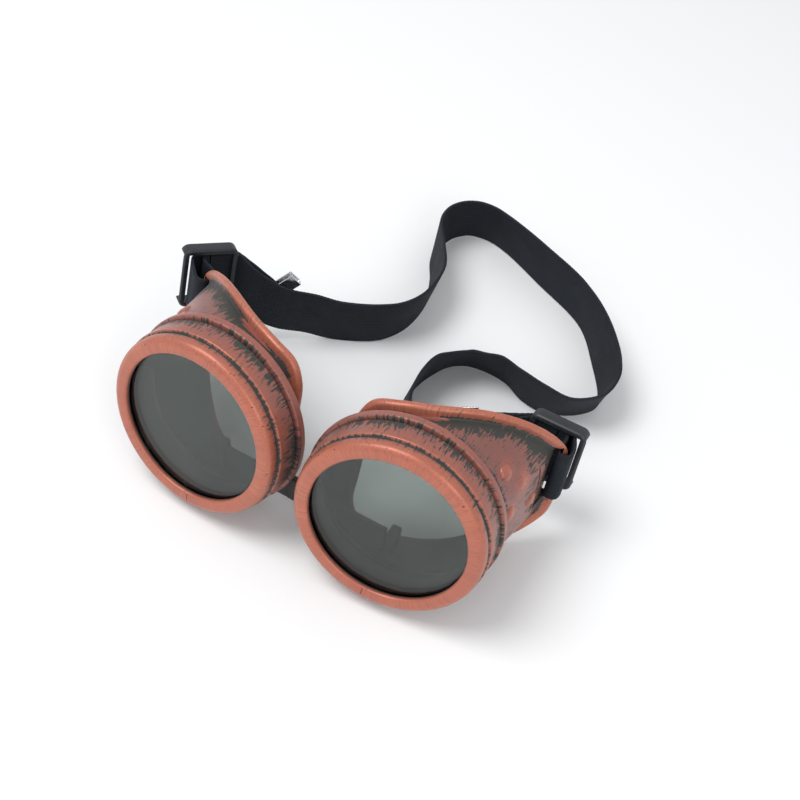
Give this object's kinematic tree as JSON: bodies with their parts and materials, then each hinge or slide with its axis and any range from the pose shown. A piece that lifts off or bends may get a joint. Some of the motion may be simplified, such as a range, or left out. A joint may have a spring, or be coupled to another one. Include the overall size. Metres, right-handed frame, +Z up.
{
  "type": "welding goggles",
  "caption": "Round goggles with screw-off lens rings, deep eyecups with vent bosses, a rubber nose bridge and an adjustable elastic head strap.",
  "frame": {"origin": "middle of the nose bridge strip's front face", "axes": "-Y is the way the lenses look, +Z up, +X towards the right-hand cup as seen from the front"},
  "size_m": [0.1411, 0.1738, 0.0596],
  "materials": {
    "copper_paint": "satin copper paint, brushed and darkened in the grooves",
    "tinted_glass": "polished, dark green-grey tint",
    "clear_glass": "polished",
    "black_rubber": "matt moulded",
    "black_plastic": "satin moulded",
    "bright_steel": "bright folded sheet",
    "elastic_webbing": "finely ribbed elastic"
  },
  "bodies": {
    "bridge": {"nose_bridge": "black_rubber", "strap_run": "elastic_webbing"},
    "left_cup": {"left_eyecup": "copper_paint", "left_bridge_stop": "black_rubber", "left_strap_loop": "elastic_webbing", "left_strap_tail": "elastic_webbing", "left_strap_clip": "bright_steel"},
    "left_lens_pack": {"left_tinted_lens": "tinted_glass", "left_clear_lens": "clear_glass", "left_lens_gasket": "black_rubber"},
    "left_ring": {"left_lens_ring": "copper_paint"},
    "left_slider_body": {"left_slider": "black_plastic"},
    "right_cup": {"right_eyecup": "copper_paint", "right_bridge_stop": "black_rubber", "right_strap_loop": "elastic_webbing", "right_strap_tail": "elastic_webbing", "right_strap_clip": "bright_steel"},
    "right_lens_pack": {"right_tinted_lens": "tinted_glass", "right_clear_lens": "clear_glass", "right_lens_gasket": "black_rubber"},
    "right_ring": {"right_lens_ring": "copper_paint"},
    "right_slider_body": {"right_slider": "black_plastic"}
  },
  "joints": [
    {"name": "left_cup_fold", "type": "hinge", "parent": "bridge", "child": "left_cup", "pos_m": [-0.006, 0.0008, 0], "axis": [0, 0, -1], "range_deg": [-4, 5], "stiffness_Nm_per_rad": 0.05, "deforming": ["nose_bridge", "strap_run"]},
    {"name": "left_lens_slide", "type": "slide", "parent": "left_cup", "child": "left_lens_pack", "axis": [-0.0863, -0.987, 0.1357], "range_m": [0, 0.0045]},
    {"name": "left_ring_turn", "type": "hinge", "parent": "left_lens_pack", "child": "left_ring", "pos_m": [-0.0321, -0.013, 0.02], "axis": [-0.0863, -0.987, 0.1357], "range_deg": [0, 540]},
    {"name": "left_slider_slide", "type": "slide", "parent": "left_cup", "child": "left_slider_body", "axis": [0.6414, 0.7591, -0.1112], "range_m": [0, 0.004], "deforming": ["left_strap_loop", "left_strap_tail", "strap_run"]},
    {"name": "right_cup_fold", "type": "hinge", "parent": "bridge", "child": "right_cup", "pos_m": [0.006, 0.0008, 0], "axis": [0, 0, 1], "range_deg": [-4, 5], "stiffness_Nm_per_rad": 0.05, "deforming": ["nose_bridge", "strap_run"]},
    {"name": "right_lens_slide", "type": "slide", "parent": "right_cup", "child": "right_lens_pack", "axis": [0.0863, -0.987, 0.1357], "range_m": [0, 0.0045]},
    {"name": "right_ring_turn", "type": "hinge", "parent": "right_lens_pack", "child": "right_ring", "pos_m": [0.0321, -0.013, 0.02], "axis": [0.0863, -0.987, 0.1357], "range_deg": [0, 540]},
    {"name": "right_slider_slide", "type": "slide", "parent": "right_cup", "child": "right_slider_body", "axis": [-0.9999, -0.0009, -0.0118], "range_m": [0, 0.004], "deforming": ["right_strap_loop", "right_strap_tail", "strap_run"]}
  ],
  "couplings": [
    {"joint": "left_lens_slide", "follows": "left_ring_turn", "m_per_rad": 0.00047746},
    {"joint": "right_lens_slide", "follows": "right_ring_turn", "m_per_rad": 0.00047746}
  ]
}
